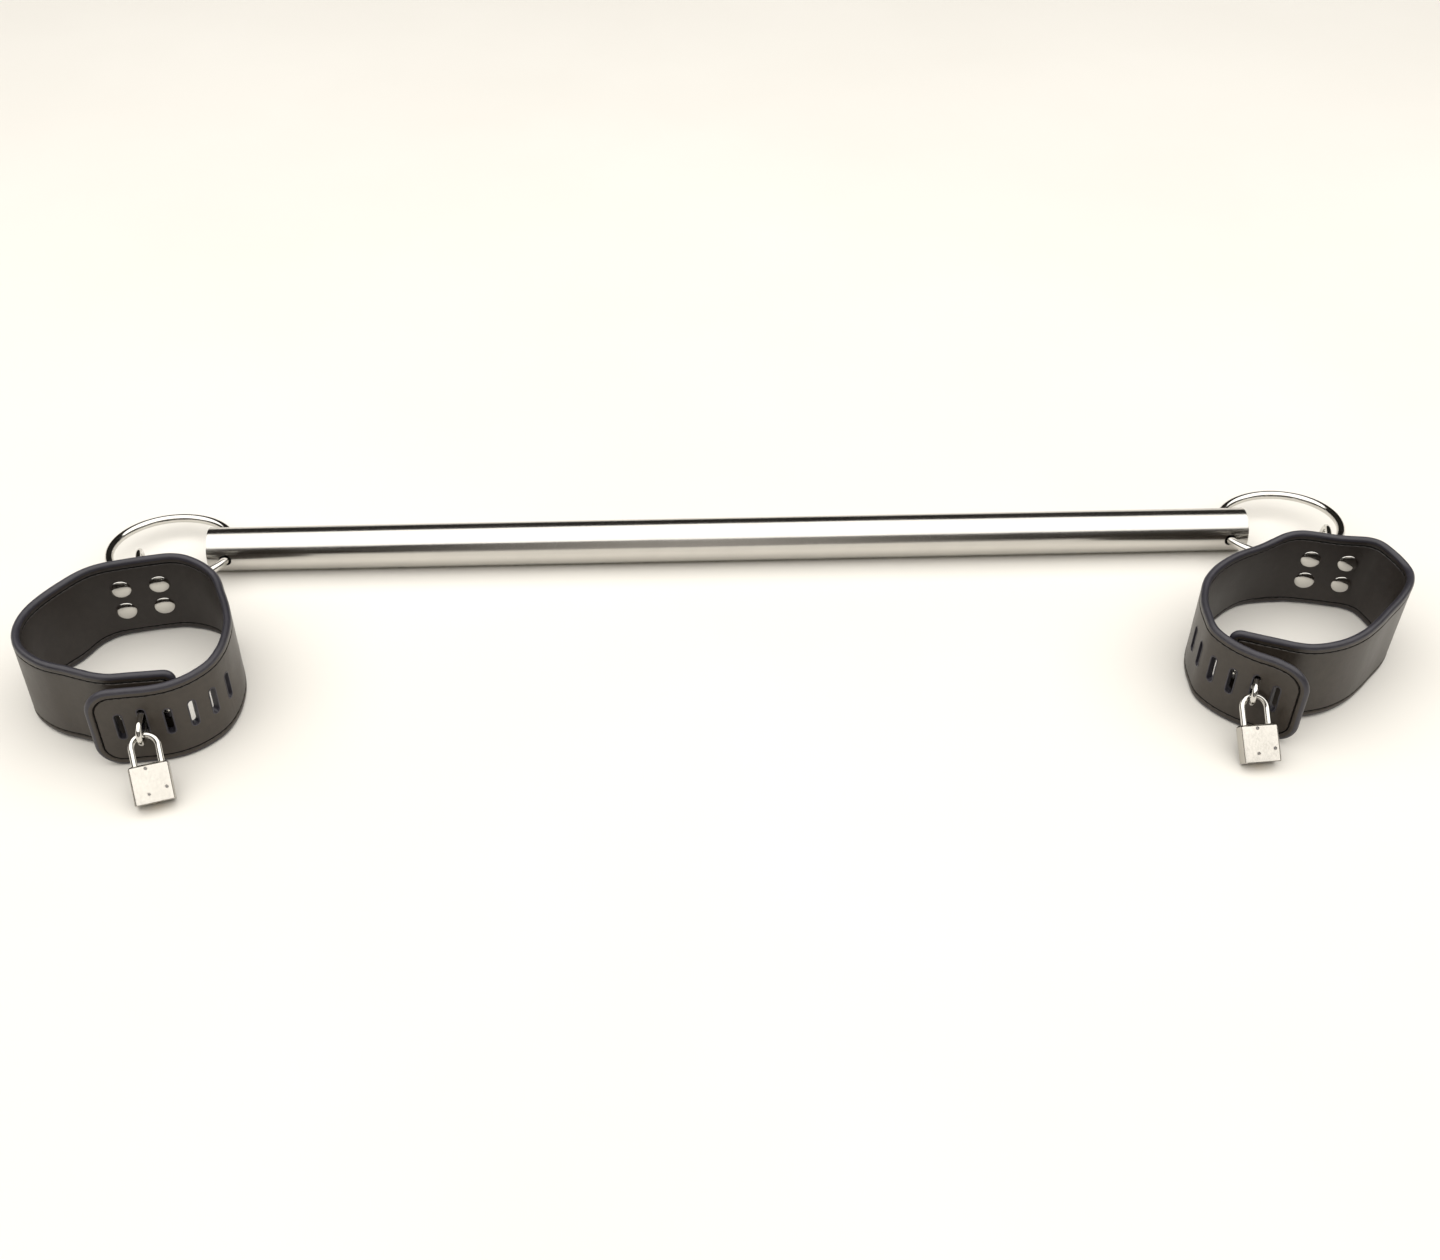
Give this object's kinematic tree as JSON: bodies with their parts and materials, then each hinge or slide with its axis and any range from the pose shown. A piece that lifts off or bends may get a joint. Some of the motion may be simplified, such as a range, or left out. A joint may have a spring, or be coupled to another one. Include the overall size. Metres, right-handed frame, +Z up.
{
  "type": "spreader bar with locking cuffs",
  "caption": "Straight chromed spreader bar with a round ring through each end; each ring carries a leather strap cuff closed by a slotted tab, a staple and a small padlock.",
  "frame": {"origin": "centre of the bounding box in X and Y, at the level the object rests on", "axes": "+X along the bar, +Y from the cuffs towards the bar, +Z up from the surface it rests on"},
  "size_m": [0.7496, 0.2362, 0.0522],
  "materials": {
    "chrome": "polished",
    "steel": "plain",
    "brass": "machined",
    "leather": "satin finished",
    "lining": "matt"
  },
  "bodies": {
    "bar": {"bar_tube": "chrome", "bar_end_plug_left": "steel", "bar_end_plug_right": "steel"},
    "ring_left": {"ring_left": "chrome"},
    "dee_left": {"dee_ring_left": "chrome"},
    "cuff_left": {"cuff_left_outer_leather": "leather", "cuff_left_lining_leather": "lining", "dee_keeper_left": "leather", "back_rivet_left_lower_a": "chrome", "back_rivet_left_lower_b": "chrome", "back_rivet_left_upper_a": "chrome", "back_rivet_left_upper_b": "chrome", "staple_left": "chrome", "staple_rivet_left_a": "chrome", "staple_rivet_left_b": "chrome"},
    "padlock_left": {"padlock_left_body": "chrome", "padlock_left_shackle": "chrome", "padlock_left_bolt_spring": "steel", "padlock_left_case_pin_1": "steel", "padlock_left_case_pin_2": "steel", "padlock_left_case_pin_3": "steel"},
    "plug_left": {"padlock_left_lock_plug": "brass"},
    "bolt_left": {"padlock_left_bolt": "brass"},
    "ring_right": {"ring_right": "chrome"},
    "dee_right": {"dee_ring_right": "chrome"},
    "cuff_right": {"cuff_right_outer_leather": "leather", "cuff_right_lining_leather": "lining", "dee_keeper_right": "leather", "back_rivet_right_lower_a": "chrome", "back_rivet_right_lower_b": "chrome", "back_rivet_right_upper_a": "chrome", "back_rivet_right_upper_b": "chrome", "staple_right": "chrome", "staple_rivet_right_a": "chrome", "staple_rivet_right_b": "chrome"},
    "padlock_right": {"padlock_right_body": "chrome", "padlock_right_shackle": "chrome", "padlock_right_bolt_spring": "steel", "padlock_right_case_pin_1": "steel", "padlock_right_case_pin_2": "steel", "padlock_right_case_pin_3": "steel"},
    "plug_right": {"padlock_right_lock_plug": "brass"},
    "bolt_right": {"padlock_right_bolt": "brass"}
  },
  "joints": [
    {"name": "ring_left_swing", "type": "hinge", "parent": "bar", "child": "ring_left", "pos_m": [-0.28827, 0.0806, 0.0127], "axis": [0, 0.9945, -0.1045], "range_deg": [-75, 75]},
    {"name": "dee_left_travel", "type": "hinge", "parent": "ring_left", "child": "dee_left", "pos_m": [-0.32118, 0.08066, 0.01327], "axis": [0.0175, 0.1045, 0.9944], "range_deg": [-80, 35]},
    {"name": "cuff_left_swing", "type": "hinge", "parent": "dee_left", "child": "cuff_left", "pos_m": [-0.32398, 0.02694, 0.0254], "axis": [0, 0, 1], "range_deg": [-45, 20]},
    {"name": "padlock_left_swing", "type": "hinge", "parent": "cuff_left", "child": "padlock_left", "pos_m": [-0.30052, -0.0882, 0.0272], "axis": [0.9613, 0.2756, 0], "range_deg": [-80, 40]},
    {"name": "plug_left_turn", "type": "hinge", "parent": "padlock_left", "child": "plug_left", "pos_m": [-0.29747, -0.09883, 0.01707], "axis": [-0.2032, 0.7087, 0.6756], "range_deg": [0, 90]},
    {"name": "bolt_left_slide", "type": "slide", "parent": "padlock_left", "child": "bolt_left", "axis": [0.9613, 0.2756, 0], "range_m": [0, 0.0016], "deforming": ["padlock_left_bolt_spring"]},
    {"name": "ring_right_swing", "type": "hinge", "parent": "bar", "child": "ring_right", "pos_m": [0.30073, 0.0806, 0.0127], "axis": [0, 0.9945, -0.1045], "range_deg": [-75, 75]},
    {"name": "dee_right_travel", "type": "hinge", "parent": "ring_right", "child": "dee_right", "pos_m": [0.33356, 0.08084, 0.01498], "axis": [-0.0698, 0.1043, 0.9921], "range_deg": [-35, 80]},
    {"name": "cuff_right_swing", "type": "hinge", "parent": "dee_right", "child": "cuff_right", "pos_m": [0.34156, 0.02751, 0.0254], "axis": [0, 0, 1], "range_deg": [-20, 45]},
    {"name": "padlock_right_swing", "type": "hinge", "parent": "cuff_right", "child": "padlock_right", "pos_m": [0.26916, -0.07912, 0.0272], "axis": [0.9976, 0.0698, 0], "range_deg": [-80, 3]},
    {"name": "plug_right_turn", "type": "hinge", "parent": "padlock_right", "child": "plug_right", "pos_m": [0.26993, -0.09015, 0.01707], "axis": [-0.0514, 0.7355, 0.6756], "range_deg": [0, 90]},
    {"name": "bolt_right_slide", "type": "slide", "parent": "padlock_right", "child": "bolt_right", "axis": [0.9976, 0.0698, 0], "range_m": [0, 0.0016], "deforming": ["padlock_right_bolt_spring"]}
  ],
  "couplings": [
    {"joint": "plug_left_turn", "follows": "bolt_left_slide", "rad_per_m": 981.75},
    {"joint": "plug_right_turn", "follows": "bolt_right_slide", "rad_per_m": 981.75}
  ]
}
